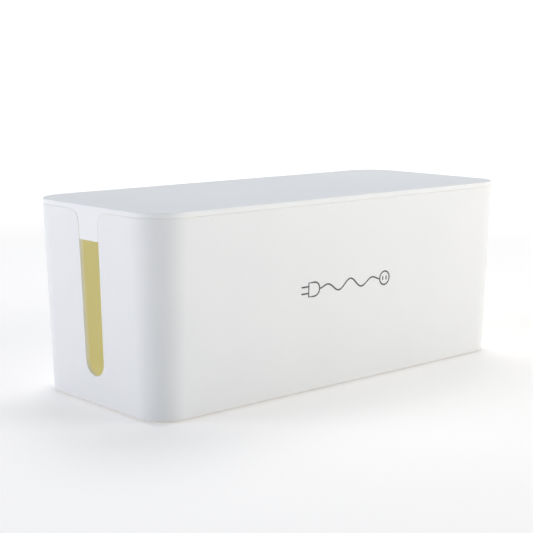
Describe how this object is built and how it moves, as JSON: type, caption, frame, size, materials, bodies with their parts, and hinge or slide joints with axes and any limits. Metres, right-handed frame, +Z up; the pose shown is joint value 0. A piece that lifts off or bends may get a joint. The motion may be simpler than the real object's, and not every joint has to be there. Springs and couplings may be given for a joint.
{
  "type": "cable management box",
  "caption": "Rectangular cable box with rounded corners and leaning walls, a cable slot in each end, and a lift-off lid whose tongues close the tops of the slots.",
  "frame": {"origin": "centre of the box at the level of the pads' lower faces, which stand on the floor or desk", "axes": "+X along the long side, from one cable slot to the other; +Y from the front wall to the rear wall; +Z up, the way the lid lifts off"},
  "size_m": [0.32, 0.136, 0.127],
  "materials": {
    "tub_plastic": "white moulded plastic, fine satin texture",
    "lid_plastic": "white moulded plastic, fine satin texture",
    "pad_rubber": "grey non-slip rubber"
  },
  "bodies": {
    "tub": {"tub": "tub_plastic", "pad_front_left": "pad_rubber", "pad_front_right": "pad_rubber", "pad_rear_left": "pad_rubber", "pad_rear_right": "pad_rubber"},
    "lid": {"lid": "lid_plastic"}
  },
  "joints": [
    {"name": "lid_lift", "type": "slide", "parent": "tub", "child": "lid", "axis": [0, 0, 1], "range_m": [0, 0.105]}
  ]
}
